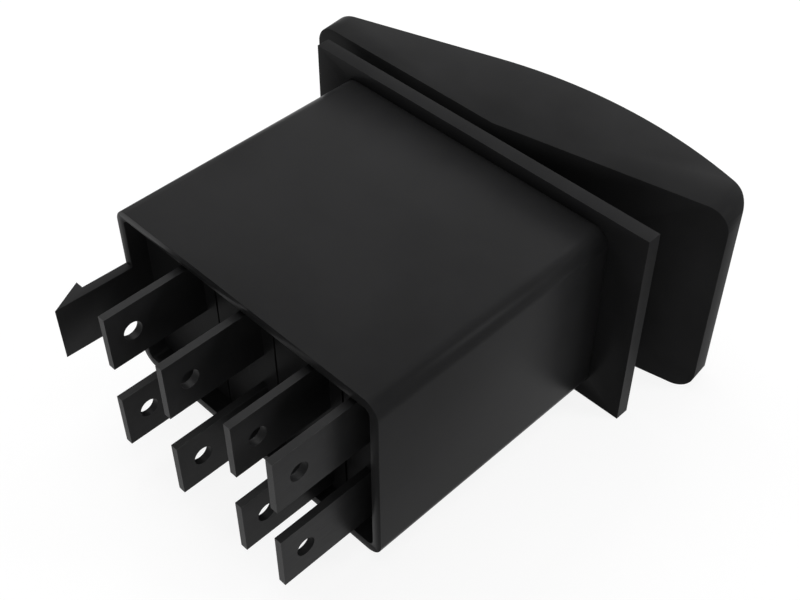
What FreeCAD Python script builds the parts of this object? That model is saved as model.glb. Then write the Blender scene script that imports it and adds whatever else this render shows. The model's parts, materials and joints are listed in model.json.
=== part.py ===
import FreeCAD, Part
import math
import os

# Panel rocker switch, double pole, with push-on tabs at the back and a lamp.
# Frame: origin at the middle of the bezel's rear face, where the panel sits.
# +X towards the latch end, -Y out of the panel at the front, +Y back to the tabs,
# +Z across the switch. All sizes are in millimetres.

Vector = FreeCAD.Vector
X_AXIS = Vector(1, 0, 0)
Y_AXIS = Vector(0, 1, 0)
Z_AXIS = Vector(0, 0, 1)

# Case: a rounded rectangular tube behind the panel
case_length = 35.2
case_width = 21.0
case_depth = 29.5
case_wall = 1.05
case_corner = 1.8
case_seat_depth = 0.4
recess_depth = 2.05
ledge_step = 0.8
ledge_length = 1.5

# Latch tongue: the latch end wall carried on past the rim
latch_width = 5.9
latch_length = 8.75
latch_hook_from_rim = 5.2
latch_hook_height = 0.8

# Bezel: flange on the panel, skirt in the case, two pivot ears in front
flange_length = 43.5
flange_width = 24.3
flange_thickness = 1.6
skirt_wall = 1.2
skirt_depth = 3.0
ear_inner_z = 7.6
ear_thickness = 1.6
ear_radius = 3.0
lamp_window_length = 4.0
lamp_window_width = 5.0

# Rocker: cap in front of the bezel, clipped on a lever that reaches into the case
rocker_length = 50.2
rocker_setback = 0.05
rocker_corner = 2.4
rocker_gap = 1.5
tilt_deg = 5.9
pivot_y = -4.8
crown_radius = 50.75
crown_front_y = -13.59
crown_centre_x = -4.54
crown_flat_deg = 12.0
raised_nose_radius = 2.5
pressed_nose_radius = 1.6
cavity_length = 10.0
cavity_width = 19.0
cavity_floor_y = -9.2
tongue_length = 3.6
tongue_width = 10.0
tongue_depth = 2.0
hub_width = 14.8
hub_length = 6.0
hub_end_y = 0.5
stop_clearance = 0.02
lever_length = 4.4
lever_width = 14.6
lever_end_y = 12.0
pin_radius = 1.0
pin_clearance = 0.03

# Lamp, its holder and leads, and the lens in the rocker above it
lamp_x = -10.3
lamp_radius = 1.5
lamp_rim_radius = 1.9
lamp_rim_thickness = 1.0
lamp_dome_y = 0.4
lamp_holder_thickness = 1.5
lamp_holder_inner_x = -7.6
lamp_pitch = 2.54
lead_radius = 0.25
lead_bend_y = 7.0
lens_length = 3.0
lens_width = 9.0

# Base plate with channels for the terminal bars, and a wall between the poles
base_thickness = 3.0
bar_half_width = 2.22
bar_depth = 1.5
bar_groove = 0.25
bar_groove_depth = 0.8
bar_least_wall = 0.5
divider_thickness = 1.2
divider_length = 24.0
divider_front_y = 13.0

# Tabs: four columns along X, two rows across Z
tab_width = 6.35
tab_thickness = 0.8
tab_past_rim = 8.7
tab_hole_radius = 1.0
tab_hole_from_tip = 2.65
row_z = 5.32
near_x = 8.17
far_x = -8.96
lamp_tab_x = -14.14
lamp_stem_width = 2.4
lamp_stem_end_y = 6.5
lamp_stem_shoulder_y = 22.0

# Contacts: a bridge rocks on the common tab's inner edge and closes either side
fulcrum_y = 17.4
fulcrum_clearance = 0.02
bridge_tilt_deg = 5.0
bridge_length = 20.0
bridge_width = 4.4
bridge_thickness = 1.0
bridge_lift = 0.05
bridge_pad_length = 6.0
bridge_pad_rise = 0.4
lug_clearance = 0.1
lug_front_y = 15.6
button_radius = 1.6
button_thickness = 0.8
button_crown = 0.12
button_x = 8.4
shank_radius = 0.75
contact_gap = 0.02
platform_half_length = 2.1
platform_centre_x = 8.7

# Plungers in the lever, each pushed onto its bridge by a coil spring
bore_radius = 1.3
bore_floor_y = -1.0
plunger_radius = 1.27
plunger_tail_y = 6.0
plunger_gap = 0.02
bridge_web = 0.97
spring_radius = 0.95
spring_wire_radius = 0.17
spring_wire_sides = 4
spring_turns = 4.0

# How far a cutting block runs past the piece that it cuts
overrun = 1.0

# Worked-out places
inner_half_x = case_length / 2 - case_wall
inner_half_z = case_width / 2 - case_wall
inner_corner = case_corner - case_wall
floor_y = case_depth - recess_depth
base_front_y = floor_y - base_thickness
tab_tip_y = case_depth + tab_past_rim
rocker_rear_y = -flange_thickness - rocker_gap
rocker_width = flange_width - 2 * rocker_setback
column_places = {"near": near_x, "common": 0.0, "far": far_x, "lamp": lamp_tab_x}
row_places = {"upper": row_z, "lower": -row_z}
pivot = Vector(0, pivot_y, 0)
tilt = math.radians(tilt_deg)
bridge_tilt = math.radians(bridge_tilt_deg)
plunger_centre_reach = (
    fulcrum_y - pivot_y - bridge_lift - bridge_web - plunger_gap - plunger_radius
)
button_sphere = (button_radius ** 2 + button_crown ** 2) / (2 * button_crown)
button_face = button_thickness - bridge_lift
fixed_face_y = (
    fulcrum_y
    + button_x * math.sin(bridge_tilt)
    + (button_face - button_sphere) * math.cos(bridge_tilt)
    + button_sphere
    + contact_gap
)
platform_y = fixed_face_y + button_thickness


def box(x0, x1, y0, y1, z0, z1):
    """A block between two corners."""
    return Part.makeBox(x1 - x0, y1 - y0, z1 - z0, Vector(x0, y0, z0))


def rounded_block(half_x, half_z, y0, y1, radius):
    """A block about the Y axis with its four long edges rounded."""
    block = box(-half_x, half_x, y0, y1, -half_z, half_z)
    long_edges = [edge for edge in block.Edges if abs(edge.tangentAt(edge.FirstParameter).y) > 0.9]
    return block.makeFillet(radius, long_edges)


def cylinder_y(radius, y0, y1, x, z):
    """A round bar along Y."""
    return Part.makeCylinder(radius, y1 - y0, Vector(x, y0, z), Y_AXIS)


def sphere_y(radius, x, y, z):
    """A ball whose poles lie along Y, so that domes and crowns come out even."""
    return Part.makeSphere(radius, Vector(x, y, z), Y_AXIS)


def cylinder_z(radius, z0, z1, x, y):
    """A round bar along Z."""
    return Part.makeCylinder(radius, z1 - z0, Vector(x, y, z0), Z_AXIS)


def prism(edges, z0, z1):
    """A closed outline in the XY plane carried from z0 to z1."""
    face = Part.Face(Part.Wire(edges))
    face.translate(Vector(0, 0, z0))
    return face.extrude(Vector(0, 0, z1 - z0))


def polygon_edges(points):
    """The straight edges of a closed outline."""
    corners = [Vector(x, y, 0) for x, y in points]
    return Part.makePolygon(corners + corners[:1]).Edges


def with_rocker(shape):
    """Turns a piece drawn level to where the pressed rocker carries it."""
    return shape.rotated(pivot, Z_AXIS, tilt_deg)


def with_bridge(shape):
    """Turns a piece drawn level to where the tilted bridge carries it."""
    return shape.rotated(Vector(0, fulcrum_y, 0), Z_AXIS, -bridge_tilt_deg)


def inner_block(y0, y1):
    """The space inside the case between two depths."""
    return rounded_block(inner_half_x, inner_half_z, y0, y1, inner_corner)


def latch():
    """The tongue past the rim, with a hook that ramps back to its tip."""
    outer_x = case_length / 2
    hook_y = case_depth + latch_hook_from_rim
    outline = polygon_edges(
        [
            (inner_half_x, floor_y),
            (outer_x, floor_y),
            (outer_x, hook_y),
            (outer_x + latch_hook_height, hook_y),
            (inner_half_x, case_depth + latch_length),
        ]
    )
    return prism(outline, -latch_width / 2, latch_width / 2)


def case_tube(y0, y1):
    """The case wall between two depths."""
    outside = rounded_block(case_length / 2, case_width / 2, y0, y1, case_corner)
    return outside.cut(inner_block(y0, y1))


def case():
    """The case tube with its latch and the ledge that the base plate seats on."""
    tube = case_tube(-case_seat_depth, case_depth)
    ledge = inner_block(base_front_y - ledge_length, base_front_y)
    ledge = ledge.cut(
        box(
            -inner_half_x + ledge_step,
            inner_half_x - ledge_step,
            0,
            case_depth,
            -inner_half_z + ledge_step,
            inner_half_z - ledge_step,
        )
    )
    return tube.fuse([ledge, latch()]).removeSplitter()


def ear(side):
    """A pivot ear in front of the flange: side is +1 or -1 along Z."""
    z0 = min(side * ear_inner_z, side * (ear_inner_z + ear_thickness))
    z1 = z0 + ear_thickness
    plate = box(-ear_radius, ear_radius, pivot_y, -flange_thickness, z0, z1)
    nose = cylinder_z(ear_radius, z0, z1, 0, pivot_y)
    return plate.fuse(nose).cut(cylinder_z(pin_radius, z0, z1, 0, pivot_y))


def stop_half_length():
    """Half the lever opening: the hub's side meets its rear edge at full tilt."""
    reach = -pivot_y
    return (hub_length / 2 + reach * math.sin(tilt)) / math.cos(tilt) + stop_clearance


def bezel():
    """The flange with a groove that seats the case, skirt, ears, opening and window."""
    half_x = flange_length / 2
    half_z = flange_width / 2
    flange = box(-half_x, half_x, -flange_thickness, 0, -half_z, half_z)
    skirt = inner_block(0, skirt_depth).cut(
        box(
            -inner_half_x + skirt_wall,
            inner_half_x - skirt_wall,
            0,
            skirt_depth,
            -inner_half_z + skirt_wall,
            inner_half_z - skirt_wall,
        )
    )
    opening = box(
        -stop_half_length(), stop_half_length(), -flange_thickness, 0, -ear_inner_z, ear_inner_z
    )
    window = box(
        lamp_x - lamp_window_length / 2,
        lamp_x + lamp_window_length / 2,
        -flange_thickness,
        0,
        -lamp_window_width / 2,
        lamp_window_width / 2,
    )
    body = flange.cut([opening, window, case_tube(-case_seat_depth, 0)])
    return body.fuse([skirt, ear(1), ear(-1)]).removeSplitter()


def rocker_outline():
    """The level rocker's side outline: shallow V behind, flat and crown in front."""
    half = rocker_length / 2
    rear_drop = half * math.tan(tilt)
    flat = math.radians(crown_flat_deg)
    centre_y = crown_front_y + crown_radius

    def on_crown(angle):
        x = crown_centre_x + crown_radius * math.sin(angle)
        return Vector(x, centre_y - crown_radius * math.cos(angle), 0)

    crown_start = on_crown(flat)
    raised_angle = math.asin((-half - crown_centre_x) / crown_radius)
    crown_end = on_crown(raised_angle)
    crown_middle = on_crown((flat + raised_angle) / 2)
    pressed_rear = Vector(half, rocker_rear_y - rear_drop, 0)
    pressed_front = Vector(half, crown_start.y + (half - crown_start.x) * math.tan(flat), 0)
    apex = Vector(0, rocker_rear_y, 0)
    raised_rear = Vector(-half, rocker_rear_y - rear_drop, 0)
    return [
        Part.makeLine(pressed_front, pressed_rear),
        Part.makeLine(pressed_rear, apex),
        Part.makeLine(apex, raised_rear),
        Part.makeLine(raised_rear, crown_end),
        Part.Arc(crown_end, crown_middle, crown_start).toShape(),
        Part.makeLine(crown_start, pressed_front),
    ]


def nose_edge(body, x):
    """The front edge along Z at one end of the rocker."""
    across = [edge for edge in body.Edges if abs(edge.BoundBox.XMin - x) < 0.01]
    across = [edge for edge in across if edge.BoundBox.ZLength > rocker_width - 0.1]
    return min(across, key=lambda edge: edge.BoundBox.YMin)


def rocker_form():
    """The outside of the cap, level, with no cavity."""
    half = rocker_length / 2
    body = prism(rocker_outline(), -rocker_width / 2, rocker_width / 2)
    body = body.makeFillet(raised_nose_radius, [nose_edge(body, -half)])
    body = body.makeFillet(pressed_nose_radius, [nose_edge(body, half)])
    plan = rounded_block(
        half, rocker_width / 2, crown_front_y - overrun, rocker_rear_y + overrun, rocker_corner
    )
    return body.common(plan)


def lens_block():
    """The block of the cap that the lens takes up, level."""
    return box(
        lamp_x - lens_length / 2,
        lamp_x + lens_length / 2,
        crown_front_y - overrun,
        rocker_rear_y + overrun,
        -lens_width / 2,
        lens_width / 2,
    )


def tongue():
    """The block on the lever's front that is pressed into the cap, level."""
    return box(
        -tongue_length / 2,
        tongue_length / 2,
        cavity_floor_y - tongue_depth,
        cavity_floor_y,
        -tongue_width / 2,
        tongue_width / 2,
    )


def rocker_cap():
    """The cap, with a cavity that clears the ears and a socket for the tongue."""
    cavity = box(
        -cavity_length / 2,
        cavity_length / 2,
        cavity_floor_y,
        rocker_rear_y + overrun,
        -cavity_width / 2,
        cavity_width / 2,
    )
    body = rocker_form().cut(cavity).cut(tongue()).cut(lens_block())
    return with_rocker(body.removeSplitter())


def rocker_lever():
    """Tongue, hub and lever in one moulding, bored for the pin and the plungers."""
    hub = box(
        -hub_length / 2, hub_length / 2, cavity_floor_y, hub_end_y, -hub_width / 2, hub_width / 2
    )
    lever = box(
        -lever_length / 2, lever_length / 2, hub_end_y, lever_end_y, -lever_width / 2, lever_width / 2
    )
    body = hub.fuse([tongue(), lever]).removeSplitter()
    bore_half = hub_width / 2
    body = body.cut(cylinder_z(pin_radius + pin_clearance, -bore_half, bore_half, 0, pivot_y))
    for z in row_places.values():
        body = body.cut(cylinder_y(bore_radius, bore_floor_y, lever_end_y, 0, z))
    return with_rocker(body)


def rocker_lens():
    """The light pipe through the raised half of the cap."""
    return with_rocker(rocker_form().common(lens_block()))


def pivot_pin():
    """The steel pin through both ears and the hub."""
    reach = ear_inner_z + ear_thickness
    return cylinder_z(pin_radius, -reach, reach, 0, pivot_y)


def bar_low_x(column_x):
    """A bar's end towards -X: the case wall where little would be left between them."""
    low_x = column_x - bar_half_width
    if low_x - bar_least_wall < -inner_half_x:
        low_x = -inner_half_x
    return low_x


def bar(column_x):
    """A bar that locks one column of tabs, grooved along both sides at the face."""
    step_y = floor_y - bar_groove_depth
    low_x = bar_low_x(column_x)
    high_x = column_x + bar_half_width
    root = box(low_x, high_x, floor_y - bar_depth, step_y, -case_width, case_width)
    face = box(
        low_x + bar_groove, high_x - bar_groove, step_y, floor_y, -case_width, case_width
    )
    strip = root.fuse(face).common(inner_block(base_front_y, floor_y))
    for z in row_places.values():
        strip = strip.cut(blade(column_x, z, base_front_y))
    return strip.removeSplitter()


def base_plate():
    """The plate that closes the case, with channels, tab slots and the pole divider."""
    plate = inner_block(base_front_y, floor_y)
    for column_x in column_places.values():
        channel = box(
            bar_low_x(column_x),
            column_x + bar_half_width,
            floor_y - bar_depth,
            floor_y,
            -case_width,
            case_width,
        )
        plate = plate.cut(channel)
        for z in row_places.values():
            plate = plate.cut(blade(column_x, z, base_front_y))
    divider = box(
        -divider_length / 2,
        divider_length / 2,
        divider_front_y,
        base_front_y,
        -divider_thickness / 2,
        divider_thickness / 2,
    )
    return plate.fuse(divider).removeSplitter()


def blade(x, z, front_y):
    """The flat of one tab from front_y to its tip."""
    return box(
        x - tab_thickness / 2,
        x + tab_thickness / 2,
        front_y,
        tab_tip_y,
        z - tab_width / 2,
        z + tab_width / 2,
    )


def tab_hole(x, z):
    """The locking hole near a tab's tip."""
    start = Vector(x - tab_thickness, tab_tip_y - tab_hole_from_tip, z)
    return Part.makeCylinder(tab_hole_radius, 2 * tab_thickness, start, X_AXIS)


def throw_terminal(x, z):
    """A tab bent over inside into a platform that carries a fixed contact."""
    side = math.copysign(1, x)
    centre_x = side * platform_centre_x
    platform = box(
        centre_x - platform_half_length,
        centre_x + platform_half_length,
        platform_y,
        platform_y + tab_thickness,
        z - tab_width / 2,
        z + tab_width / 2,
    )
    shank_hole = cylinder_y(shank_radius, platform_y, platform_y + tab_thickness, centre_x, z)
    body = blade(x, z, platform_y + tab_thickness).cut(tab_hole(x, z))
    return body.fuse(platform.cut(shank_hole)).removeSplitter()


def common_terminal(z):
    """A straight tab whose rounded inner edge is the bridge's fulcrum, between two lugs."""
    seat_half = bridge_width / 2 + lug_clearance
    body = blade(0.0, z, lug_front_y).cut(tab_hole(0.0, z))
    notch = box(-tab_thickness, tab_thickness, lug_front_y, fulcrum_y, z - seat_half, z + seat_half)
    edge = cylinder_z(tab_thickness / 2, z - seat_half, z + seat_half, 0, fulcrum_y)
    return body.cut(notch).fuse(edge).removeSplitter()


def lamp_terminal(z):
    """A tab with a long narrow stem that meets the lamp's lead."""
    body = blade(lamp_tab_x, z, lamp_stem_shoulder_y).cut(tab_hole(lamp_tab_x, z))
    stem = box(
        lamp_tab_x - tab_thickness / 2,
        lamp_tab_x + tab_thickness / 2,
        lamp_stem_end_y,
        lamp_stem_shoulder_y,
        z - lamp_stem_width / 2,
        z + lamp_stem_width / 2,
    )
    return body.fuse(stem).removeSplitter()


def fixed_contact(side, z):
    """A flat contact riveted to a throw terminal's platform."""
    x = side * platform_centre_x
    head = cylinder_y(button_radius, fixed_face_y, platform_y, x, z)
    shank = cylinder_y(shank_radius, platform_y, platform_y + tab_thickness, x, z)
    return head.fuse(shank).removeSplitter()


def moving_contact(side, z):
    """A crowned contact under one end of the bridge."""
    x = side * button_x
    underside_y = fulcrum_y - bridge_lift
    face_y = underside_y + button_thickness
    body = cylinder_y(button_radius, underside_y, face_y, x, z)
    crown = sphere_y(button_sphere, x, face_y - button_sphere, z)
    return with_bridge(body.common(crown))


def bridge_dish():
    """The trough in the bridge that follows the plunger's tip as both turn."""
    span = fulcrum_y - pivot_y
    middle_y = plunger_centre_reach - span
    end_x = -plunger_centre_reach * math.sin(tilt)
    end_y = plunger_centre_reach * math.cos(tilt) - span
    seen_x = end_x * math.cos(bridge_tilt) - end_y * math.sin(bridge_tilt)
    seen_y = end_x * math.sin(bridge_tilt) + end_y * math.cos(bridge_tilt)
    sag = middle_y - seen_y
    path_radius = (seen_x ** 2 + sag ** 2) / (2 * sag)
    dish_radius = path_radius + plunger_radius + plunger_gap
    return dish_radius, fulcrum_y + middle_y - path_radius


def contact_bridge(z):
    """The strip that rocks on the common tab, with a dished pad for the plunger."""
    z0 = z - bridge_width / 2
    z1 = z + bridge_width / 2
    under_y = fulcrum_y - bridge_lift
    front_y = under_y - bridge_thickness
    strip = box(-bridge_length / 2, bridge_length / 2, front_y, under_y, z0, z1)
    pad = box(
        -bridge_pad_length / 2, bridge_pad_length / 2, front_y - bridge_pad_rise, front_y, z0, z1
    )
    dish_radius, dish_y = bridge_dish()
    body = strip.fuse(pad).removeSplitter()
    body = body.cut(cylinder_z(dish_radius, z0, z1, 0, dish_y))
    groove_radius = tab_thickness / 2 + fulcrum_clearance
    return with_bridge(body.cut(cylinder_z(groove_radius, z0, z1, 0, fulcrum_y)))


def plunger(z):
    """A round-nosed pin that slides in the lever."""
    centre_y = pivot_y + plunger_centre_reach
    stem = cylinder_y(plunger_radius, plunger_tail_y, centre_y, 0, z)
    tip = sphere_y(plunger_radius, 0, centre_y, z)
    return with_rocker(stem.fuse(tip).removeSplitter())


def plunger_spring(z):
    """An open coil of flat-sided wire between the bore's floor and the plunger's tail."""
    coil_length = plunger_tail_y - bore_floor_y - 2 * spring_wire_radius
    helix = Part.makeHelix(coil_length / spring_turns, coil_length, spring_radius)
    corners = []
    for step in range(spring_wire_sides):
        angle = 2 * math.pi * step / spring_wire_sides
        across = spring_wire_radius * math.sin(angle)
        along = spring_wire_radius * math.cos(angle)
        corners.append(Vector(spring_radius + across, 0, along))
    section = Part.makePolygon(corners + corners[:1])
    coil = Part.Wire(helix).makePipeShell([section], True, True)
    coil.rotate(Vector(0, 0, 0), X_AXIS, -90)
    coil.translate(Vector(0, bore_floor_y + spring_wire_radius, z))
    return with_rocker(coil)


def lamp():
    """A small domed lamp with a rim."""
    seat_y = skirt_depth + lamp_holder_thickness
    body = cylinder_y(lamp_radius, lamp_dome_y, seat_y, lamp_x, 0)
    dome = sphere_y(lamp_radius, lamp_x, lamp_dome_y, 0)
    rim = cylinder_y(lamp_rim_radius, seat_y, seat_y + lamp_rim_thickness, lamp_x, 0)
    return body.fuse([dome, rim]).removeSplitter()


def lamp_holder():
    """The shelf across the case behind the skirt that carries the lamp."""
    shelf = box(
        -case_length,
        lamp_holder_inner_x,
        skirt_depth,
        skirt_depth + lamp_holder_thickness,
        -case_width,
        case_width,
    )
    shelf = shelf.common(inner_block(skirt_depth, skirt_depth + lamp_holder_thickness))
    hole = cylinder_y(lamp_radius, 0, case_depth, lamp_x, 0)
    return shelf.cut(hole)


def lamp_lead(side):
    """A wire with two square bends from the lamp's rim to its terminal's stem."""
    mitred = 1
    rim_y = skirt_depth + lamp_holder_thickness + lamp_rim_thickness
    stem_face_x = lamp_tab_x + tab_thickness / 2
    points = [
        Vector(lamp_x, rim_y, side * lamp_pitch / 2),
        Vector(lamp_x, lead_bend_y, side * lamp_pitch / 2),
        Vector(lamp_x, lead_bend_y, side * row_z),
        Vector(stem_face_x, lead_bend_y, side * row_z),
    ]
    section = Part.Wire(Part.makeCircle(lead_radius, points[0], Y_AXIS))
    return Part.makePolygon(points).makePipeShell([section], True, False, mitred)


def save(name, shape):
    """Writes one sub-part's file after a soundness test."""
    if not shape.isValid() or len(shape.Solids) != 1:
        raise ValueError(f"{name}: valid {shape.isValid()}, solids {len(shape.Solids)}")
    shape.Solids[0].exportStep(f"parts/{name}.step")
    print(name, round(shape.Volume, 2))


def main():
    """Builds and saves every sub-part."""
    os.makedirs("parts", exist_ok=True)
    save("case", case())
    save("bezel", bezel())
    save("base_plate", base_plate())
    save("rocker_cap", rocker_cap())
    save("rocker_lever", rocker_lever())
    save("rocker_lens", rocker_lens())
    save("pivot_pin", pivot_pin())
    save("lamp", lamp())
    save("lamp_holder", lamp_holder())
    for column, x in column_places.items():
        save(f"terminal_bar_{column}", bar(x))
    for row, z in row_places.items():
        save(f"terminal_common_{row}", common_terminal(z))
        save(f"terminal_near_{row}", throw_terminal(near_x, z))
        save(f"terminal_far_{row}", throw_terminal(far_x, z))
        save(f"terminal_lamp_{row}", lamp_terminal(z))
        save(f"fixed_contact_near_{row}", fixed_contact(1, z))
        save(f"fixed_contact_far_{row}", fixed_contact(-1, z))
        save(f"moving_contact_near_{row}", moving_contact(1, z))
        save(f"moving_contact_far_{row}", moving_contact(-1, z))
        save(f"contact_bridge_{row}", contact_bridge(z))
        save(f"plunger_{row}", plunger(z))
        save(f"plunger_spring_{row}", plunger_spring(z))
        save(f"lamp_lead_{row}", lamp_lead(math.copysign(1, z)))


main()
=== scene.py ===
import json
import math

import bmesh
import bpy
from bpy.props import FloatProperty, FloatVectorProperty, IntProperty, PointerProperty
from mathutils import Matrix, Vector


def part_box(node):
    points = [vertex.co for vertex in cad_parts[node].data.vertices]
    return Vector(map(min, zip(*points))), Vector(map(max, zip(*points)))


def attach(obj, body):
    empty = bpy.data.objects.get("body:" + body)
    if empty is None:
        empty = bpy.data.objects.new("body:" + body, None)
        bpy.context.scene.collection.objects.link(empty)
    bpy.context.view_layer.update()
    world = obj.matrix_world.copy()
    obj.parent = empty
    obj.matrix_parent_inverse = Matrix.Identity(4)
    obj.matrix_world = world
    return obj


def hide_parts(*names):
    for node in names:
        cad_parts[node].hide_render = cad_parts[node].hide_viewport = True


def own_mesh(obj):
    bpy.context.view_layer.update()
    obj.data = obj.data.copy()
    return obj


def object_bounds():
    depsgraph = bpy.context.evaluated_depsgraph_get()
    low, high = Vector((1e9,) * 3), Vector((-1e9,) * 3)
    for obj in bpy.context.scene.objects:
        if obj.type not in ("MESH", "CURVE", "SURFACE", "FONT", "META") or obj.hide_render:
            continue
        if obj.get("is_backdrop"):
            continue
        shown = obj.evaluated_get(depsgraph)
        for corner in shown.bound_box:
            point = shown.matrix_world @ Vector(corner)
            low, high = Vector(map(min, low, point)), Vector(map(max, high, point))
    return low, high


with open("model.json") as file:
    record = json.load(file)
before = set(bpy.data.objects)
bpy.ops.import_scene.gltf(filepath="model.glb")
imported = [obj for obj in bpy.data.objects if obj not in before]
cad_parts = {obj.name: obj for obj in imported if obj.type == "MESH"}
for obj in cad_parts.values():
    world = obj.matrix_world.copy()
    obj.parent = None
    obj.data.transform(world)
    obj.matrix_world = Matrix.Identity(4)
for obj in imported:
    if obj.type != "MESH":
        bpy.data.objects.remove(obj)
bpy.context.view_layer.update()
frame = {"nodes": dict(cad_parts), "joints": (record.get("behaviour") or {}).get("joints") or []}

bl_info = {
    "name": "Panel rocker switch",
    "version": (1, 0, 0),
    "blender": (4, 5, 0),
    "location": "View3D > Sidebar > Rocker switch",
    "description": "Dresses a panel rocker switch: mouldings, tabs, springs, leads and stage",
    "category": "Object",
}

NODES = frame["nodes"]
ROWS = ("upper", "lower")
COLUMNS = ("near", "common", "far", "lamp")
SIDES = ("near", "far")
MM = 0.001

# Merging a CAD mesh: corners nearer than this, in metres, are one, and flatter edges go
MERGE_DISTANCE = 1e-6
FLAT_ANGLE = math.radians(0.5)

# Rounding: edges sharper than this are rounded, with so many faces across
SHARP_ANGLE = math.radians(35)
ROUNDING_SEGMENTS = 2

# Sides of the round wires
SPRING_WIRE_SIDES = 12
LEAD_WIRE_SIDES = 16

# The groove along each side of a bar, and how near a corner of it must lie to be moved
BAR_GROOVE = 0.25 * MM
GROOVE_REACH = 0.02 * MM

# The latch: how near its corners are found, its size past the rim, and how far its real
# shape differs
NEAR = 0.01 * MM
LATCH_LENGTH = 8.75 * MM
LATCH_HALF_WIDTH = 2.95 * MM
LATCH_WIDENING = 6.35 / 5.9
LATCH_LEAN = 0.30 * MM
HOOK_FROM_RIM = 5.2 * MM
HOOK_HEIGHT = 0.8 * MM
HOOK_RISE = 0.15 * MM
HOOK_SHIFT = 0.20 * MM

# Roughness of each finish, and the reflection of a finish without a setting of its own
ROUGHNESS = {
    "case": 0.34, "bezel": 0.34, "rocker": 0.36, "lever": 0.36, "base": 0.40, "tab": 0.36,
    "silver": 0.30, "copper": 0.34, "pin": 0.22, "spring": 0.26, "lead": 0.28,
    "lens": 0.22, "lamp": 0.30,
}
PLAIN_SHINE = 0.5

# Shares of a colour where it drifts darkest and lightest, and share and lift on rubbed edges
PLASTIC_DRIFT = (0.88, 1.14)
PLASTIC_RUBBED = (1.5, 0.002)
METAL_DRIFT = (0.85, 1.12)
METAL_RUBBED = (1.6, 0.01)
GLASS_DARKEST = 0.8

# How far roughness drifts down and up, and how much smoother rubbing makes an edge
PLASTIC_GLOSS = (-0.03, 0.04)
METAL_GLOSS = (-0.05, 0.06)
RUBBED_POLISH = 0.10

# The part of a noise's range that is used, for a drift and for the patches of wear
NOISE_RANGE = (0.35, 0.65)
WEAR_RANGE = (0.40, 0.65)

# Wear: how fast it grows with the lean of an edge, its samples, and its sizes on metal
WEAR_GAIN = 5.0
WEAR_SAMPLES = 6
METAL_WEAR_RADIUS = 0.00015
METAL_WEAR_PATCH = 0.0015

# Marks: depth of the rolling marks, scale of the tarnish, and the lever's coarser grain
MARK_DEPTH = 0.0015 * MM
CLOUD_SCALE = 260.0
LEVER_GRAIN = 2.0

# The lens and the lamp: sizes of their flow marks, how clear they are, and how they bend light
FLOW_GRAIN = 0.0004
FLOW_DRIFT = 0.003
LENS_CLARITY = 0.25
LAMP_CLARITY = 0.35
GLASS_IOR = 1.49

# The floor: its size, the scale and share of its speckle, and how the camera sees it
FLOOR_RADIUS = 1.5
FLOOR_SIDES = 96
SPECKLE_SCALE = 90.0
SPECKLE_SHARE = 1.02
SEEN_COLOR = (0.17, 0.17, 0.17, 1.0)
SEEN_GLOW = 0.88
WHITE = (1.0, 1.0, 1.0, 1.0)

# The camera: how it is turned, its sensor, and the nearest and farthest that it sees
CAMERA_TURN = (math.radians(45), 0, math.radians(225))
SENSOR_WIDTH = 36.0
CLIP_START = 0.001
CLIP_END = 10.0

# Each lamp's name, its share of the strongest lamp's power, its width, and its place
LAMPS = (
    ("latch_side_lamp", 1.00, 0.30, (0.283, 0.010, 0.283)),
    ("top_lamp", 0.56, 0.30, (0.0, 0.010, 0.400)),
    ("front_lamp", 0.40, 0.30, (0.141, -0.235, 0.283)),
    ("low_tab_lamp", 0.25, 0.30, (-0.280, 0.290, 0.056)),
    ("low_side_lamp", 0.15, 0.30, (-0.396, 0.010, 0.056)),
    ("edge_lamp", 0.50, 0.12, (-0.284, -0.189, 0.200)),
    ("low_front_lamp", 0.35, 0.30, (0.0, -0.386, 0.056)),
)
LAMP_AIM = (0.0, 0.010, 0.0)


def plunger_joint(row):
    """The slide joint of one row's plunger, whose axis is also the spring's."""
    return next(joint for joint in frame["joints"] if joint["name"] == f"plunger_{row}_slide")


# Settings that a user would change

class SwitchPlasticSettings(bpy.types.PropertyGroup):
    """Colours and surface of the moulded pieces."""

    case_color: FloatVectorProperty(
        name="Case colour", description="Black of the case",
        subtype="COLOR", size=3, min=0, max=1, default=(0.0190, 0.0190, 0.0195))
    rocker_color: FloatVectorProperty(
        name="Rocker colour", description="Black of the rocker cap",
        subtype="COLOR", size=3, min=0, max=1, default=(0.0250, 0.0250, 0.0255))
    bezel_color: FloatVectorProperty(
        name="Bezel colour", description="Black of the bezel",
        subtype="COLOR", size=3, min=0, max=1, default=(0.0220, 0.0220, 0.0225))
    base_color: FloatVectorProperty(
        name="Base colour",
        description="Black of the base plate, its bars, the lamp holder, lever and plungers",
        subtype="COLOR", size=3, min=0, max=1, default=(0.018, 0.018, 0.0185))
    lens_color: FloatVectorProperty(
        name="Lens colour", description="Smoked red of the light pipe",
        subtype="COLOR", size=3, min=0, max=1, default=(0.060, 0.008, 0.006))
    lens_shine: FloatProperty(
        name="Lens shine", description="Strength of the light pipe's surface reflection",
        default=0.20, min=0, max=1)
    grain_size: FloatProperty(
        name="Grain size", description="Width of one grain of the mould's matte texture",
        subtype="DISTANCE", unit="LENGTH", default=0.00016, min=0.00002, max=0.002)
    grain_depth: FloatProperty(
        name="Grain depth", description="Height of the matte texture",
        subtype="DISTANCE", unit="LENGTH", default=0.000003, min=0, max=0.0005)
    edge_radius: FloatProperty(
        name="Edge radius", description="Rounding of the moulded edges",
        subtype="DISTANCE", unit="LENGTH", default=0.00004, min=0.00001, max=0.001)
    case_shine: FloatProperty(
        name="Case shine", description="Strength of the case's surface reflection",
        default=0.032, min=0, max=1)
    shine: FloatProperty(
        name="Shine", description="Strength of the other mouldings' surface reflection",
        default=0.01, min=0, max=1)


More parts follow.
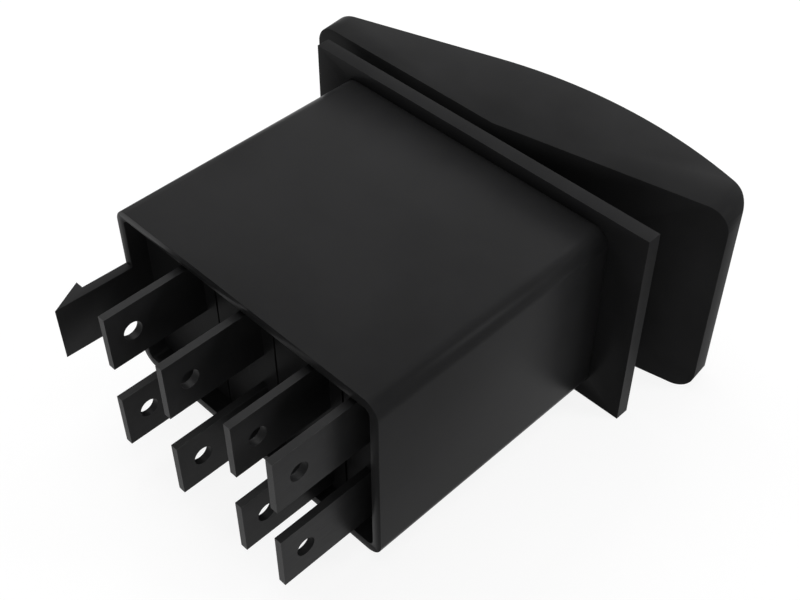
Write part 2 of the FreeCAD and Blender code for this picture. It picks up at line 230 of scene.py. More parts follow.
class SwitchMetalSettings(bpy.types.PropertyGroup):
    """Colours and surface of the metal pieces."""

    tab_color: FloatVectorProperty(
        name="Tab colour", description="Black plating of the push-on tabs",
        subtype="COLOR", size=3, min=0, max=1, default=(0.020, 0.020, 0.0205))
    tab_shine: FloatProperty(
        name="Tab shine", description="Strength of the plating's surface reflection",
        default=0.06, min=0, max=1)
    silver_color: FloatVectorProperty(
        name="Contact colour", description="Silver alloy of the contact buttons",
        subtype="COLOR", size=3, min=0, max=1, default=(0.70, 0.70, 0.68))
    copper_color: FloatVectorProperty(
        name="Bridge colour", description="Copper alloy of the contact bridges",
        subtype="COLOR", size=3, min=0, max=1, default=(0.55, 0.35, 0.20))
    steel_color: FloatVectorProperty(
        name="Steel colour", description="Ground steel of the pin and drawn steel of the springs",
        subtype="COLOR", size=3, min=0, max=1, default=(0.48, 0.48, 0.49))
    grain_length: FloatProperty(
        name="Rolling mark length",
        description="Length of the fine marks that rolling leaves in the sheet",
        subtype="DISTANCE", unit="LENGTH", default=0.002, min=0.0001, max=0.02)


class SwitchSpringSettings(bpy.types.PropertyGroup):
    """Sizes of the two plunger springs."""

    coil_radius: FloatProperty(
        name="Coil radius", description="Radius of the wire's centreline",
        subtype="DISTANCE", unit="LENGTH", default=0.95 * MM, min=0.1 * MM, max=5 * MM)
    wire_radius: FloatProperty(
        name="Wire radius", description="Radius of the round spring wire",
        subtype="DISTANCE", unit="LENGTH", default=0.16 * MM, min=0.02 * MM, max=1 * MM)
    turns: FloatProperty(
        name="Turns", description="Turns from the bore's floor to the plunger",
        default=4.0, min=1, max=20)
    steps: IntProperty(
        name="Steps per turn", description="Straight runs in one turn", default=28, min=8, max=64)


class SwitchLeadSettings(bpy.types.PropertyGroup):
    """Colours of the lamp, and sizes of its two leads."""

    glass_color: FloatVectorProperty(
        name="Lamp colour", description="Diffuse red of the small lamp",
        subtype="COLOR", size=3, min=0, max=1, default=(0.35, 0.06, 0.04))
    tin_color: FloatVectorProperty(
        name="Lead colour", description="Tin of the two leads",
        subtype="COLOR", size=3, min=0, max=1, default=(0.60, 0.60, 0.58))
    wire_radius: FloatProperty(
        name="Lead radius", description="Radius of the tinned wire",
        subtype="DISTANCE", unit="LENGTH", default=0.25 * MM, min=0.05 * MM, max=1 * MM)
    bend_radius: FloatProperty(
        name="Bend radius", description="Radius of the wire's centreline at a bend",
        subtype="DISTANCE", unit="LENGTH", default=0.6 * MM, min=0.1 * MM, max=3 * MM)
    bend_steps: IntProperty(
        name="Bend steps", description="Points round one bend", default=6, min=2, max=24)


class SwitchStageSettings(bpy.types.PropertyGroup):
    """Camera, floor, dome and lamps."""

    lens: FloatProperty(
        name="Focal length", description="Focal length on a 36 mm wide sensor, in millimetres",
        default=57.84, min=10, max=300)
    floor_color: FloatVectorProperty(
        name="Floor colour", description="Colour of the floor as light bounces off it",
        subtype="COLOR", size=3, min=0, max=1, default=(0.80, 0.80, 0.80))
    dome_strength: FloatProperty(
        name="Dome strength", description="Strength of the white dome's light",
        default=0.0, min=0, max=4)
    lamp_power: FloatProperty(
        name="Lamp power", description="Power of the strongest lamp",
        subtype="POWER", unit="POWER", default=0.82, min=0, max=100)
    camera_place: FloatVectorProperty(
        name="Camera place", description="Where the camera stands",
        subtype="TRANSLATION", unit="LENGTH", size=3, default=(-0.0655, 0.07495, 0.0889))


SETTINGS = {
    "switch_plastic": SwitchPlasticSettings,
    "switch_metal": SwitchMetalSettings,
    "switch_springs": SwitchSpringSettings,
    "switch_leads": SwitchLeadSettings,
    "switch_stage": SwitchStageSettings,
}


# Node helpers

def socket_name(word):
    """The name of the socket that a keyword stands for."""
    return word.replace("_", " ").title()


def set_values(node, **values):
    """Sets a node's own inputs by socket name."""
    for word, value in values.items():
        node.inputs[socket_name(word)].default_value = value


def add_node(tree, kind, place, **values):
    """A node at a place in the tree, with its own settings given by name."""
    made = tree.nodes.new(kind)
    made.location = place
    for name, value in values.items():
        setattr(made, name, value)
    return made


def join(tree, *pairs):
    """Links sockets two by two."""
    for source, target in pairs:
        tree.links.new(source, target)


def add_socket(tree, name, direction, kind, value=None):
    """A named socket on a group's outside."""
    made = tree.interface.new_socket(name=name, in_out=direction, socket_type=kind)
    if value is not None:
        made.default_value = value


def math_node(tree, place, operation, *inputs):
    """A math node whose inputs are numbers or sockets."""
    made = add_node(tree, "ShaderNodeMath", place, operation=operation)
    for index, value in enumerate(inputs):
        if isinstance(value, bpy.types.NodeSocket):
            tree.links.new(value, made.inputs[index])
        else:
            made.inputs[index].default_value = value
    return made.outputs[0]


def noise_node(tree, place, **values):
    """A noise texture with its own inputs given by name."""
    made = add_node(tree, "ShaderNodeTexNoise", place)
    set_values(made, **values)
    return made


def spread(tree, place, noise, low=0.0, high=1.0, noise_range=NOISE_RANGE):
    """Maps the usual range of a noise on to the range from low to high."""
    made = add_node(tree, "ShaderNodeMapRange", place)
    start, end = noise_range
    set_values(made, from_min=start, from_max=end, to_min=low, to_max=high)
    join(tree, (noise, made.inputs["Value"]))
    return made.outputs["Result"]


# Shader groups: each puts out values only

def grain_group():
    """Fine mould texture as a height, with a slow drift for colour and gloss."""
    tree = bpy.data.node_groups.get("moulded_grain")
    if tree:
        return tree
    tree = bpy.data.node_groups.new("moulded_grain", "ShaderNodeTree")
    add_socket(tree, "Grain Size", "INPUT", "NodeSocketFloat", 0.00016)
    add_socket(tree, "Drift Size", "INPUT", "NodeSocketFloat", 0.012)
    add_socket(tree, "Height", "OUTPUT", "NodeSocketFloat")
    add_socket(tree, "Drift", "OUTPUT", "NodeSocketFloat")
    inside = add_node(tree, "NodeGroupInput", (-900, 0))
    outside = add_node(tree, "NodeGroupOutput", (500, 0))
    place = add_node(tree, "ShaderNodeTexCoord", (-900, 300)).outputs["Object"]
    fine_scale = math_node(tree, (-700, 100), "DIVIDE", 1.0, inside.outputs["Grain Size"])
    slow_scale = math_node(tree, (-700, -200), "DIVIDE", 1.0, inside.outputs["Drift Size"])
    fine = noise_node(tree, (-400, 200), detail=3.0, roughness=0.6)
    slow = noise_node(tree, (-400, -200), detail=4.0, roughness=0.55)
    join(tree, (place, fine.inputs["Vector"]), (fine_scale, fine.inputs["Scale"]),
         (place, slow.inputs["Vector"]), (slow_scale, slow.inputs["Scale"]),
         (fine.outputs["Fac"], outside.inputs["Height"]),
         (slow.outputs["Fac"], outside.inputs["Drift"]))
    return tree


def wear_group():
    """A broken mask along convex and concave edges, from how far a rounded normal leans."""
    tree = bpy.data.node_groups.get("edge_wear")
    if tree:
        return tree
    tree = bpy.data.node_groups.new("edge_wear", "ShaderNodeTree")
    add_socket(tree, "Radius", "INPUT", "NodeSocketFloat", 0.00025)
    add_socket(tree, "Patch Size", "INPUT", "NodeSocketFloat", 0.003)
    add_socket(tree, "Mask", "OUTPUT", "NodeSocketFloat")
    inside = add_node(tree, "NodeGroupInput", (-900, 0))
    outside = add_node(tree, "NodeGroupOutput", (700, 0))
    rounded = add_node(tree, "ShaderNodeBevel", (-600, 200), samples=WEAR_SAMPLES)
    plain = add_node(tree, "ShaderNodeNewGeometry", (-600, 0))
    facing = add_node(tree, "ShaderNodeVectorMath", (-350, 150), operation="DOT_PRODUCT")
    join(tree, (inside.outputs["Radius"], rounded.inputs["Radius"]),
         (rounded.outputs["Normal"], facing.inputs[0]),
         (plain.outputs["Normal"], facing.inputs[1]))
    lean = math_node(tree, (-150, 150), "SUBTRACT", 1.0, facing.outputs["Value"])
    edge = math_node(tree, (50, 150), "MULTIPLY", lean, WEAR_GAIN)
    place = add_node(tree, "ShaderNodeTexCoord", (-900, -300)).outputs["Object"]
    scale = math_node(tree, (-700, -200), "DIVIDE", 1.0, inside.outputs["Patch Size"])
    patches = noise_node(tree, (-350, -250), detail=5.0)
    join(tree, (place, patches.inputs["Vector"]), (scale, patches.inputs["Scale"]))
    broken = spread(tree, (-100, -250), patches.outputs["Fac"], noise_range=WEAR_RANGE)
    mask = add_node(tree, "ShaderNodeMath", (300, 50), operation="MULTIPLY", use_clamp=True)
    join(tree, (edge, mask.inputs[0]), (broken, mask.inputs[1]),
         (mask.outputs[0], outside.inputs["Mask"]))
    return tree


def streak_group():
    """Fine marks along Y, as rolled sheet and drawn wire have, and clouds of tarnish."""
    tree = bpy.data.node_groups.get("rolling_marks")
    if tree:
        return tree
    tree = bpy.data.node_groups.new("rolling_marks", "ShaderNodeTree")
    add_socket(tree, "Length", "INPUT", "NodeSocketFloat", 0.002)
    add_socket(tree, "Width", "INPUT", "NodeSocketFloat", 0.00012)
    add_socket(tree, "Marks", "OUTPUT", "NodeSocketFloat")
    add_socket(tree, "Clouds", "OUTPUT", "NodeSocketFloat")
    inside = add_node(tree, "NodeGroupInput", (-900, 0))
    outside = add_node(tree, "NodeGroupOutput", (500, 0))
    place = add_node(tree, "ShaderNodeTexCoord", (-900, 300)).outputs["Object"]
    across = math_node(tree, (-700, 100), "DIVIDE", 1.0, inside.outputs["Width"])
    along = math_node(tree, (-700, -100), "DIVIDE", 1.0, inside.outputs["Length"])
    scales = add_node(tree, "ShaderNodeCombineXYZ", (-500, 0))
    stretched = add_node(tree, "ShaderNodeVectorMath", (-300, 200), operation="MULTIPLY")
    marks = noise_node(tree, (-100, 200), scale=1.0, detail=2.0)
    clouds = noise_node(tree, (-100, -150), scale=CLOUD_SCALE, detail=4.0)
    join(tree, (across, scales.inputs["X"]), (along, scales.inputs["Y"]),
         (across, scales.inputs["Z"]), (place, stretched.inputs[0]),
         (scales.outputs["Vector"], stretched.inputs[1]),
         (stretched.outputs["Vector"], marks.inputs["Vector"]),
         (place, clouds.inputs["Vector"]),
         (marks.outputs["Fac"], outside.inputs["Marks"]),
         (clouds.outputs["Fac"], outside.inputs["Clouds"]))
    return tree


# Materials

def blank_material(name):
    """A node material that holds only its output."""
    material = bpy.data.materials.new(name)
    material.use_nodes = True
    tree = material.node_tree
    tree.nodes.clear()
    return material, tree, add_node(tree, "ShaderNodeOutputMaterial", (900, 0))


def surface_material(name):
    """A node material with one Principled shader."""
    material, tree, output = blank_material(name)
    surface = add_node(tree, "ShaderNodeBsdfPrincipled", (600, 0))
    join(tree, (surface.outputs[0], output.inputs["Surface"]))
    return material, tree, surface


def add_group(tree, group, place, **values):
    """A shader group placed in a material with its own values."""
    made = add_node(tree, "ShaderNodeGroup", place, node_tree=group)
    set_values(made, **values)
    return made


def color_mix(tree, place, factor, first, second):
    """A mix by a mask of two colours, each plain or from a socket."""
    made = add_node(tree, "ShaderNodeMix", place, data_type="RGBA")
    for socket, color in ((made.inputs["A"], first), (made.inputs["B"], second)):
        if isinstance(color, bpy.types.NodeSocket):
            join(tree, (color, socket))
        else:
            socket.default_value = (*color, 1.0)
    join(tree, (factor, made.inputs["Factor"]))
    return made.outputs["Result"]


def tint(color, share, lift=0.0):
    """A colour times a share plus a lift, no brighter than white."""
    return tuple(min(1.0, channel * share + lift) for channel in color)


def rubbed_color(tree, surface, noise, wear, color, drift, rubbed):
    """Gives the surface a colour that drifts with a noise and changes on rubbed edges."""
    darker, lighter = (tint(color, share) for share in drift)
    body = color_mix(tree, (-200, 250), spread(tree, (-450, 200), noise), darker, lighter)
    worn = color_mix(tree, (100, 200), wear, body, tint(color, *rubbed))
    join(tree, (worn, surface.inputs["Base Color"]))


def add_bump(tree, surface, height, depth):
    """Bumps the surface by a height of that depth."""
    bump = add_node(tree, "ShaderNodeBump", (300, -300))
    set_values(bump, strength=1.0, distance=depth)
    join(tree, (height, bump.inputs["Height"]), (bump.outputs["Normal"], surface.inputs["Normal"]))


def moulded_plastic(name, color, roughness, shine, grain_scale=1.0):
    """Matte black plastic: grain, slow drift of colour and gloss, and rubbed edges."""
    plastic = bpy.context.scene.switch_plastic
    material, tree, surface = surface_material(name)
    grain = add_group(
        tree, grain_group(), (-700, 100), grain_size=plastic.grain_size * grain_scale)
    drift = grain.outputs["Drift"]
    wear = add_group(tree, wear_group(), (-700, -250)).outputs["Mask"]
    rubbed_color(tree, surface, drift, wear, color, PLASTIC_DRIFT, PLASTIC_RUBBED)
    low, high = (roughness + step for step in PLASTIC_GLOSS)
    gloss = spread(tree, (-200, -50), drift, low, high)
    polished = math_node(tree, (50, -150), "MULTIPLY", wear, RUBBED_POLISH)
    smoother = math_node(tree, (250, -50), "SUBTRACT", gloss, polished)
    join(tree, (smoother, surface.inputs["Roughness"]))
    add_bump(tree, surface, grain.outputs["Height"], plastic.grain_depth)
    surface.inputs["Specular IOR Level"].default_value = shine
    return material


def sheet_metal(name, color, roughness, metallic=1.0, shine=PLAIN_SHINE):
    """Rolled or drawn metal: marks along Y, cloudy tarnish and rubbed edges."""
    metal = bpy.context.scene.switch_metal
    material, tree, surface = surface_material(name)
    streaks = add_group(tree, streak_group(), (-700, 100), length=metal.grain_length)
    marks = streaks.outputs["Marks"]
    wear = add_group(
        tree, wear_group(), (-700, -250), radius=METAL_WEAR_RADIUS, patch_size=METAL_WEAR_PATCH)
    rubbed_color(
        tree, surface, streaks.outputs["Clouds"], wear.outputs["Mask"],
        color, METAL_DRIFT, METAL_RUBBED)
    low, high = (roughness + step for step in METAL_GLOSS)
    join(tree, (spread(tree, (50, -50), marks, low, high), surface.inputs["Roughness"]))
    add_bump(tree, surface, marks, MARK_DEPTH)
    surface.inputs["Metallic"].default_value = metallic
    surface.inputs["Specular IOR Level"].default_value = shine
    return material


def tinted_glass(name, color, roughness, transmission, shine=PLAIN_SHINE):
    """Tinted clear moulding with flow marks in its colour and gloss."""
    material, tree, surface = surface_material(name)
    flow = add_group(
        tree, grain_group(), (-700, 100), grain_size=FLOW_GRAIN, drift_size=FLOW_DRIFT)
    drift = flow.outputs["Drift"]
    share = spread(tree, (-450, 200), drift)
    body = color_mix(tree, (-200, 250), share, tint(color, GLASS_DARKEST), color)
    low, high = (roughness + step for step in PLASTIC_GLOSS)
    gloss = spread(tree, (-200, -50), drift, low, high)
    join(tree, (body, surface.inputs["Base Color"]), (gloss, surface.inputs["Roughness"]))
    surface.inputs["Transmission Weight"].default_value = transmission
    surface.inputs["Specular IOR Level"].default_value = shine
    surface.inputs["IOR"].default_value = GLASS_IOR
    return material


def paint(node, material):
    """Gives a CAD node one material in all its slots."""
    shown = NODES[node]
    if not shown.material_slots:
        shown.data.materials.append(material)
    for place in shown.material_slots:
        place.material = material


# Pieces made from CAD meshes or by geometry nodes

def new_object(name, data):
    """An object that holds the mesh, lamp or camera, linked to the scene."""
    made = bpy.data.objects.new(name, data)
    bpy.context.scene.collection.objects.link(made)
    return made


def merged_copy(node, name):
    """A copy of a CAD mesh, and the same opened for editing with its loose triangles merged."""
    mesh = NODES[node].data.copy()
    mesh.name = name
    edit = bmesh.new()
    edit.from_mesh(mesh)
    bmesh.ops.remove_doubles(edit, verts=edit.verts, dist=MERGE_DISTANCE)
    return mesh, edit


def wider_latch(edit):
    """Fits the latch past the rim to its real shape: wider, leaning out, its hook higher."""
    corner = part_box("case")[1]
    outer_x = corner.x - HOOK_HEIGHT
    rim_y = corner.y - LATCH_LENGTH
    for vert in edit.verts:
        if vert.co.y < rim_y - NEAR or abs(vert.co.z) > LATCH_HALF_WIDTH + NEAR:
            continue
        if abs(vert.co.y - rim_y - HOOK_FROM_RIM) < NEAR:
            vert.co.y -= HOOK_SHIFT
        if vert.co.x > outer_x + HOOK_HEIGHT / 2:
            vert.co.x += HOOK_RISE
        vert.co.x += LATCH_LEAN * (vert.co.y - rim_y) / LATCH_LENGTH
        vert.co.z *= LATCH_WIDENING


def softened_copy(node, radius, material, body, reshape=None):
    """A copy of a CAD piece with its sharp edges rounded, shaped anew first where asked."""
    mesh, edit = merged_copy(node, f"{node}_shell")
    bmesh.ops.dissolve_limit(
        edit, angle_limit=FLAT_ANGLE, use_dissolve_boundaries=False,
        verts=edit.verts, edges=edit.edges)
    if reshape:
        reshape(edit)
    for face in edit.faces:
        face.smooth = True
    edit.to_mesh(mesh)
    edit.free()
    piece = new_object(f"{node}_shell", mesh)
    rounding = piece.modifiers.new("rounding", "BEVEL")
    rounding.width = radius
    rounding.segments = ROUNDING_SEGMENTS
    rounding.limit_method = "ANGLE"
    rounding.angle_limit = SHARP_ANGLE
    rounding.harden_normals = True
    rounding.use_clamp_overlap = False
    finish_mesh(piece, material, body, (node,))


def closed_bar(column, material):
    """A bar with its groove on the latch side closed, so that one line shows beside each tab."""
    node = f"terminal_bar_{column}"
    high_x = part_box(node)[1].x
    mesh, edit = merged_copy(node, f"bar_{column}_closed")
    for vert in edit.verts:
        if abs(vert.co.x - (high_x - BAR_GROOVE)) < GROOVE_REACH:
            vert.co.x = high_x
    bmesh.ops.remove_doubles(edit, verts=edit.verts, dist=MERGE_DISTANCE)
    bmesh.ops.dissolve_degenerate(edit, edges=edit.edges, dist=MERGE_DISTANCE)
    edit.to_mesh(mesh)
    edit.free()
    piece = new_object(f"bar_{column}_closed", mesh)
    finish_mesh(piece, material, "housing", (node,))


def finish_mesh(piece, material, body, stands_for):
    """Turns a piece's modifiers into its mesh, then gives it material and body."""
    bpy.context.view_layer.update()
    evaluated = piece.evaluated_get(bpy.context.evaluated_depsgraph_get())
    final = bpy.data.meshes.new_from_object(evaluated)
    piece.modifiers.clear()
    piece.data = final
    final.name = piece.name
    final.materials.clear()
    final.materials.append(material)
    if not final.polygons:
        raise RuntimeError(f"{piece.name} came out empty")
    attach(piece, body)
    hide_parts(*stands_for)


# Geometry node trees

def set_inputs(modifier, **values):
    """Sets a modifier's inputs by socket name."""
    found = {}
    for item in modifier.node_group.interface.items_tree:
        if item.item_type == "SOCKET" and item.in_out == "INPUT":
            found[item.name] = item.identifier
    for word, value in values.items():
        modifier[found[socket_name(word)]] = value


def end_in_wire(tree, path, sides, inside, outside):
    """Ends a tree in a round wire swept along a path, smooth, real and with its material."""
    wire = add_node(tree, "GeometryNodeCurvePrimitiveCircle", (-250, -250))
    set_values(wire, resolution=sides)
    swept = add_node(tree, "GeometryNodeCurveToMesh", (200, 0))
    set_values(swept, fill_caps=True)
    smooth = add_node(tree, "GeometryNodeSetShadeSmooth", (600, 0))
    real = add_node(tree, "GeometryNodeRealizeInstances", (800, 0))
    coated = add_node(tree, "GeometryNodeSetMaterial", (1000, 0))
    join(tree, (inside.outputs["Wire Radius"], wire.inputs["Radius"]),
         (path, swept.inputs["Curve"]),
         (wire.outputs["Curve"], swept.inputs["Profile Curve"]),
         (swept.outputs["Mesh"], smooth.inputs["Geometry"]),
         (smooth.outputs["Geometry"], real.inputs["Geometry"]),
         (real.outputs["Geometry"], coated.inputs["Geometry"]),
         (inside.outputs["Material"], coated.inputs["Material"]),
         (coated.outputs["Geometry"], outside.inputs["Geometry"]))


def spring_tree():
    """A coil of round wire, wound about the origin along Z."""
    tree = bpy.data.node_groups.new("wound_spring", "GeometryNodeTree")
    add_socket(tree, "Coil Radius", "INPUT", "NodeSocketFloat", 0.95 * MM)
    add_socket(tree, "Wire Radius", "INPUT", "NodeSocketFloat", 0.16 * MM)
    add_socket(tree, "Turns", "INPUT", "NodeSocketFloat", 4.0)
    add_socket(tree, "Length", "INPUT", "NodeSocketFloat", 6.6 * MM)
    add_socket(tree, "Steps", "INPUT", "NodeSocketInt", 28)
    add_socket(tree, "Material", "INPUT", "NodeSocketMaterial")
    add_socket(tree, "Geometry", "OUTPUT", "NodeSocketGeometry")
    inside = add_node(tree, "NodeGroupInput", (-600, 0))
    outside = add_node(tree, "NodeGroupOutput", (1200, 0))
    path = add_node(tree, "GeometryNodeCurveSpiral", (-300, 100))
    join(tree, (inside.outputs["Steps"], path.inputs["Resolution"]),
         (inside.outputs["Turns"], path.inputs["Rotations"]),
         (inside.outputs["Coil Radius"], path.inputs["Start Radius"]),
         (inside.outputs["Coil Radius"], path.inputs["End Radius"]),
         (inside.outputs["Length"], path.inputs["Height"]))
    end_in_wire(tree, path.outputs["Curve"], SPRING_WIRE_SIDES, inside, outside)
    return tree


def lead_tree():
    """A round wire swept along the object's own path, with its corners bent."""
    tree = bpy.data.node_groups.new("bent_lead", "GeometryNodeTree")
    add_socket(tree, "Geometry", "INPUT", "NodeSocketGeometry")
    add_socket(tree, "Wire Radius", "INPUT", "NodeSocketFloat", 0.25 * MM)
    add_socket(tree, "Bend Radius", "INPUT", "NodeSocketFloat", 0.6 * MM)
    add_socket(tree, "Bend Steps", "INPUT", "NodeSocketInt", 6)
    add_socket(tree, "Material", "INPUT", "NodeSocketMaterial")
    add_socket(tree, "Geometry", "OUTPUT", "NodeSocketGeometry")
    inside = add_node(tree, "NodeGroupInput", (-800, 0))
    outside = add_node(tree, "NodeGroupOutput", (1200, 0))
    path = add_node(tree, "GeometryNodeMeshToCurve", (-550, 100))
    bent = add_node(tree, "GeometryNodeFilletCurve", (-250, 100), mode="POLY")
    join(tree, (inside.outputs["Geometry"], path.inputs["Mesh"]),
         (path.outputs["Curve"], bent.inputs["Curve"]),
         (inside.outputs["Bend Radius"], bent.inputs["Radius"]),
         (inside.outputs["Bend Steps"], bent.inputs["Count"]))
    end_in_wire(tree, bent.outputs["Curve"], LEAD_WIRE_SIDES, inside, outside)
    return tree


# Operators: one for each piece or group of like pieces

class SWITCH_OT_case(bpy.types.Operator):
    """Rounds the edges of the case and gives it matte black plastic"""

    bl_idname = "switch.case"
    bl_label = "Case"

    def execute(self, context):
        plastic = context.scene.switch_plastic
        material = moulded_plastic(
            "case_plastic", plastic.case_color, ROUGHNESS["case"], plastic.case_shine)
        softened_copy("case", plastic.edge_radius, material, "housing", wider_latch)
        return {"FINISHED"}


class SWITCH_OT_bezel(bpy.types.Operator):
    """Rounds the edges of the bezel and gives it matte black plastic"""

    bl_idname = "switch.bezel"
    bl_label = "Bezel"

    def execute(self, context):
        plastic = context.scene.switch_plastic
        material = moulded_plastic(
            "bezel_plastic", plastic.bezel_color, ROUGHNESS["bezel"], plastic.shine)
        softened_copy("bezel", plastic.edge_radius, material, "housing")
        return {"FINISHED"}


class SWITCH_OT_rocker(bpy.types.Operator):
    """Finishes the rocker: its cap, its lens, the lever that it clips on, and the plungers"""

    bl_idname = "switch.rocker"
    bl_label = "Rocker"

    def execute(self, context):
        plastic = context.scene.switch_plastic
        material = moulded_plastic(
            "rocker_plastic", plastic.rocker_color, ROUGHNESS["rocker"], plastic.shine)
        softened_copy("rocker_cap", plastic.edge_radius, material, "rocker")
        lens = tinted_glass(
            "lens_plastic", plastic.lens_color, ROUGHNESS["lens"], LENS_CLARITY,
            plastic.lens_shine)
        paint("rocker_lens", lens)
        lever = moulded_plastic(
            "lever_plastic", plastic.base_color, ROUGHNESS["lever"], plastic.shine, LEVER_GRAIN)
        paint("rocker_lever", lever)
        for row in ROWS:
            softened_copy(f"plunger_{row}", plastic.edge_radius, lever, f"plunger_{row}")
        return {"FINISHED"}


class SWITCH_OT_base(bpy.types.Operator):
    """Finishes the base plate, the bars that lock the tabs, and the lamp's holder"""

    bl_idname = "switch.base"
    bl_label = "Base plate"

    def execute(self, context):
        plastic = context.scene.switch_plastic
        material = moulded_plastic(
            "base_plastic", plastic.base_color, ROUGHNESS["base"], plastic.shine)
        for node in ("base_plate", "lamp_holder"):
            paint(node, material)
        for column in COLUMNS:
            closed_bar(column, material)
        return {"FINISHED"}


class SWITCH_OT_tabs(bpy.types.Operator):
    """Finishes the eight push-on tabs in black plated sheet"""

    bl_idname = "switch.tabs"
    bl_label = "Tabs"

    def execute(self, context):
        metal = context.scene.switch_metal
        material = sheet_metal(
            "plated_tab", metal.tab_color, ROUGHNESS["tab"], metallic=0.0, shine=metal.tab_shine)
        for row in ROWS:
            for column in COLUMNS:
                paint(f"terminal_{column}_{row}", material)
        return {"FINISHED"}


class SWITCH_OT_contacts(bpy.types.Operator):
    """Finishes the contact buttons, the bridges and the pivot pin"""

    bl_idname = "switch.contacts"
    bl_label = "Contacts and pin"

    def execute(self, context):
        metal = context.scene.switch_metal
        radius = context.scene.switch_plastic.edge_radius
        silver = sheet_metal("contact_silver", metal.silver_color, ROUGHNESS["silver"])
        copper = sheet_metal("bridge_copper", metal.copper_color, ROUGHNESS["copper"])
        for row in ROWS:
            paint(f"contact_bridge_{row}", copper)
            for side in SIDES:
                paint(f"fixed_contact_{side}_{row}", silver)
                softened_copy(
                    f"moving_contact_{side}_{row}", radius, silver, f"bridge_{row}")
        paint("pivot_pin", sheet_metal("ground_pin", metal.steel_color, ROUGHNESS["pin"]))
        return {"FINISHED"}


class SWITCH_OT_springs(bpy.types.Operator):
    """Winds the two plunger springs from round wire, along each plunger's slide axis"""

    bl_idname = "switch.springs"
    bl_label = "Springs"

    def execute(self, context):
        sizes = context.scene.switch_springs
        steel = context.scene.switch_metal.steel_color
        material = sheet_metal("spring_wire", steel, ROUGHNESS["spring"])
        tree = spring_tree()
        for row in ROWS:
            node = f"plunger_spring_{row}"
            low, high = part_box(node)
            joint = plunger_joint(row)
            axis = Vector(joint["axis"])
            lean = abs(axis.x)
            outer = sizes.coil_radius + sizes.wire_radius
            length = (high.y - low.y - 2 * outer * lean) / abs(axis.y) - 2 * sizes.wire_radius
            piece = new_object(f"spring_coil_{row}", bpy.data.meshes.new(f"spring_coil_{row}"))
            winding = piece.modifiers.new("winding", "NODES")
            winding.node_group = tree
            set_inputs(winding, coil_radius=sizes.coil_radius, wire_radius=sizes.wire_radius,
                       turns=sizes.turns, length=length, steps=sizes.steps, material=material)
            finish_mesh(piece, material, "rocker", (node,))
            turn = Vector((0, 0, 1)).rotation_difference(-axis).to_matrix().to_4x4()
            centred = Matrix.Translation((0, 0, -length / 2))
            middle = (low + high) / 2
            piece.data.transform(Matrix.Translation(middle) @ turn @ centred)
            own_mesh(piece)
        return {"FINISHED"}


class SWITCH_OT_lamp(bpy.types.Operator):
    """Finishes the lamp and bends its two leads to the lamp tabs"""

    bl_idname = "switch.lamp"
    bl_label = "Lamp and leads"

    def execute(self, context):
        sizes = context.scene.switch_leads
        edge_radius = context.scene.switch_plastic.edge_radius
        glass = tinted_glass("lamp_glass", sizes.glass_color, ROUGHNESS["lamp"], LAMP_CLARITY)
        softened_copy("lamp", edge_radius, glass, "housing")
        material = sheet_metal("lead_wire", sizes.tin_color, ROUGHNESS["lead"])
        tree = lead_tree()
        radius = sizes.wire_radius
        for row in ROWS:
            node = f"lamp_lead_{row}"
            low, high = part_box(node)
            lamp_z, tab_z = low.z + radius, high.z - radius
            if row == "lower":
                lamp_z, tab_z = tab_z, lamp_z
            points = [
                (high.x - radius, low.y, lamp_z),
                (high.x - radius, high.y - radius, lamp_z),
                (high.x - radius, high.y - radius, tab_z),
                (low.x, high.y - radius, tab_z),
            ]
            path = bpy.data.meshes.new(f"bent_lead_{row}")
            path.from_pydata(points, [(0, 1), (1, 2), (2, 3)], [])
            piece = new_object(f"bent_lead_{row}", path)
            bending = piece.modifiers.new("bending", "NODES")
            bending.node_group = tree
            set_inputs(bending, wire_radius=radius, bend_radius=sizes.bend_radius,
                       bend_steps=sizes.bend_steps, material=material)
            finish_mesh(piece, material, "housing", (node,))
        return {"FINISHED"}


class SWITCH_OT_stage(bpy.types.Operator):
    """Sets the pale floor, the white dome, the soft lamps and the camera"""

    bl_idname = "switch.stage"
    bl_label = "Stage"

    def execute(self, context):
        stage = context.scene.switch_stage
        make_floor(stage)
        make_dome(stage)
        make_lamps(stage)
        camera = new_object("view_camera", bpy.data.cameras.new("view_camera"))
        camera.location = stage.camera_place
        camera.rotation_euler = CAMERA_TURN
        camera.data.lens = stage.lens
        camera.data.sensor_width = SENSOR_WIDTH
        camera.data.clip_start = CLIP_START
        camera.data.clip_end = CLIP_END
        context.scene.camera = camera
        context.scene.view_settings.view_transform = "Standard"
        return {"FINISHED"}


def seen_rays(tree, place):
    """1 for camera, glossy and transmission rays, which see the background itself."""
    rays = add_node(tree, "ShaderNodeLightPath", place).outputs
    x, y = place
    either = math_node(
        tree, (x + 200, y), "MAXIMUM", rays["Is Camera Ray"], rays["Is Glossy Ray"])
    return math_node(tree, (x + 400, y), "MAXIMUM", either, rays["Is Transmission Ray"])


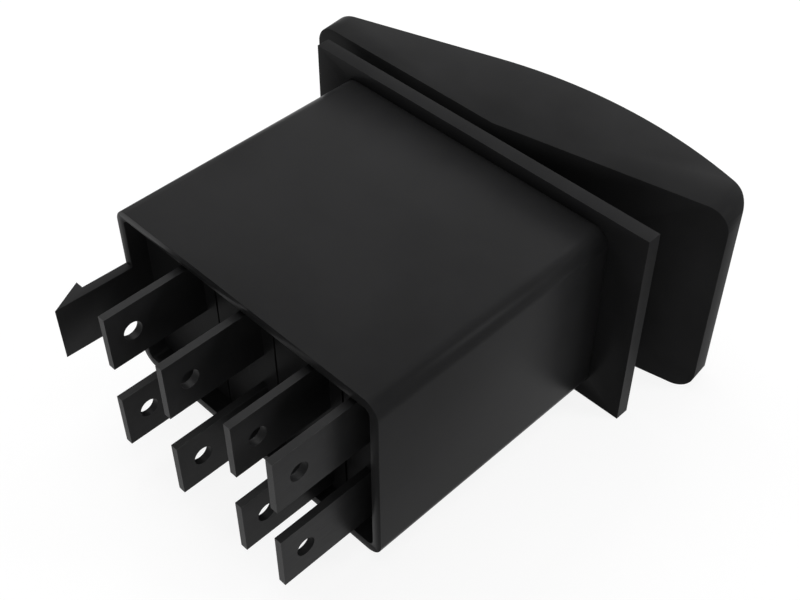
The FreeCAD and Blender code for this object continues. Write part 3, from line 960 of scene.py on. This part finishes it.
def make_floor(stage):
    """A wide pale floor under the object, seen near white with the shadow kept."""
    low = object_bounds()[0]
    floor = bpy.data.meshes.new("floor")
    edit = bmesh.new()
    bmesh.ops.create_circle(edit, cap_ends=True, segments=FLOOR_SIDES, radius=FLOOR_RADIUS)
    bmesh.ops.translate(edit, verts=edit.verts, vec=(0, 0, low.z))
    edit.to_mesh(floor)
    edit.free()
    piece = new_object("floor", floor)
    material, tree, output = blank_material("pale_floor")
    bounce = add_node(tree, "ShaderNodeBsdfDiffuse", (200, 200))
    speckle = noise_node(tree, (-300, 200), scale=SPECKLE_SCALE).outputs["Fac"]
    paler = tint(stage.floor_color, SPECKLE_SHARE)
    bounce_color = color_mix(tree, (-50, 200), speckle, stage.floor_color, paler)
    seen = add_node(tree, "ShaderNodeBsdfDiffuse", (0, -100))
    set_values(seen, color=SEEN_COLOR)
    glow = add_node(tree, "ShaderNodeEmission", (0, -250))
    set_values(glow, strength=SEEN_GLOW)
    both = add_node(tree, "ShaderNodeAddShader", (250, -150))
    mixed = add_node(tree, "ShaderNodeMixShader", (600, 0))
    join(tree, (bounce_color, bounce.inputs["Color"]),
         (seen.outputs[0], both.inputs[0]), (glow.outputs[0], both.inputs[1]),
         (seen_rays(tree, (-300, -400)), mixed.inputs["Fac"]),
         (bounce.outputs[0], mixed.inputs[1]), (both.outputs[0], mixed.inputs[2]),
         (mixed.outputs[0], output.inputs["Surface"]))
    floor.materials.append(material)
    piece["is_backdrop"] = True


def make_dome(stage):
    """A white dome: it lights at its own strength and is seen as plain white."""
    world = bpy.data.worlds.new("white_dome")
    bpy.context.scene.world = world
    world.use_nodes = True
    tree = world.node_tree
    tree.nodes.clear()
    output = add_node(tree, "ShaderNodeOutputWorld", (700, 0))
    light = add_node(tree, "ShaderNodeBackground", (200, 100))
    set_values(light, color=WHITE, strength=stage.dome_strength)
    white = add_node(tree, "ShaderNodeBackground", (200, -100))
    set_values(white, color=WHITE)
    mixed = add_node(tree, "ShaderNodeMixShader", (450, 0))
    join(tree, (seen_rays(tree, (-500, 0)), mixed.inputs["Fac"]),
         (light.outputs[0], mixed.inputs[1]), (white.outputs[0], mixed.inputs[2]),
         (mixed.outputs[0], output.inputs["Surface"]))


def make_lamps(stage):
    """Soft lamps round the object, each with its share of the strongest lamp's power."""
    aim = Vector(LAMP_AIM)
    for name, share, width, place in LAMPS:
        lamp = bpy.data.lights.new(name, "AREA")
        lamp.energy = stage.lamp_power * share
        lamp.size = width
        holder = new_object(name, lamp)
        holder.location = place
        holder.rotation_euler = (aim - Vector(place)).to_track_quat("-Z", "Y").to_euler()


OPERATORS = (
    SWITCH_OT_case, SWITCH_OT_bezel, SWITCH_OT_rocker, SWITCH_OT_base, SWITCH_OT_tabs,
    SWITCH_OT_contacts, SWITCH_OT_springs, SWITCH_OT_lamp, SWITCH_OT_stage,
)


class SWITCH_PT_panel(bpy.types.Panel):
    """Lists the pieces of the switch and their settings"""

    bl_idname = "SWITCH_PT_panel"
    bl_label = "Panel rocker switch"
    bl_space_type = "VIEW_3D"
    bl_region_type = "UI"
    bl_category = "Rocker switch"

    def draw(self, context):
        for attribute, group in SETTINGS.items():
            box = self.layout.box()
            for name in group.__annotations__:
                box.prop(getattr(context.scene, attribute), name)
        for operator in OPERATORS:
            self.layout.operator(operator.bl_idname)


CLASSES = (*SETTINGS.values(), *OPERATORS, SWITCH_PT_panel)


def register():
    """Registers the classes and hangs the settings on the scene."""
    for cls in CLASSES:
        bpy.utils.register_class(cls)
    for attribute, group in SETTINGS.items():
        setattr(bpy.types.Scene, attribute, PointerProperty(type=group))


def unregister():
    """Takes the settings and the classes away again."""
    for attribute in SETTINGS:
        delattr(bpy.types.Scene, attribute)
    for cls in reversed(CLASSES):
        bpy.utils.unregister_class(cls)


def main():
    """Makes every piece and the stage in order."""
    register()
    for operator in OPERATORS:
        family, name = operator.bl_idname.split(".")
        getattr(getattr(bpy.ops, family), name)()


if __name__ == "__main__":
    main()
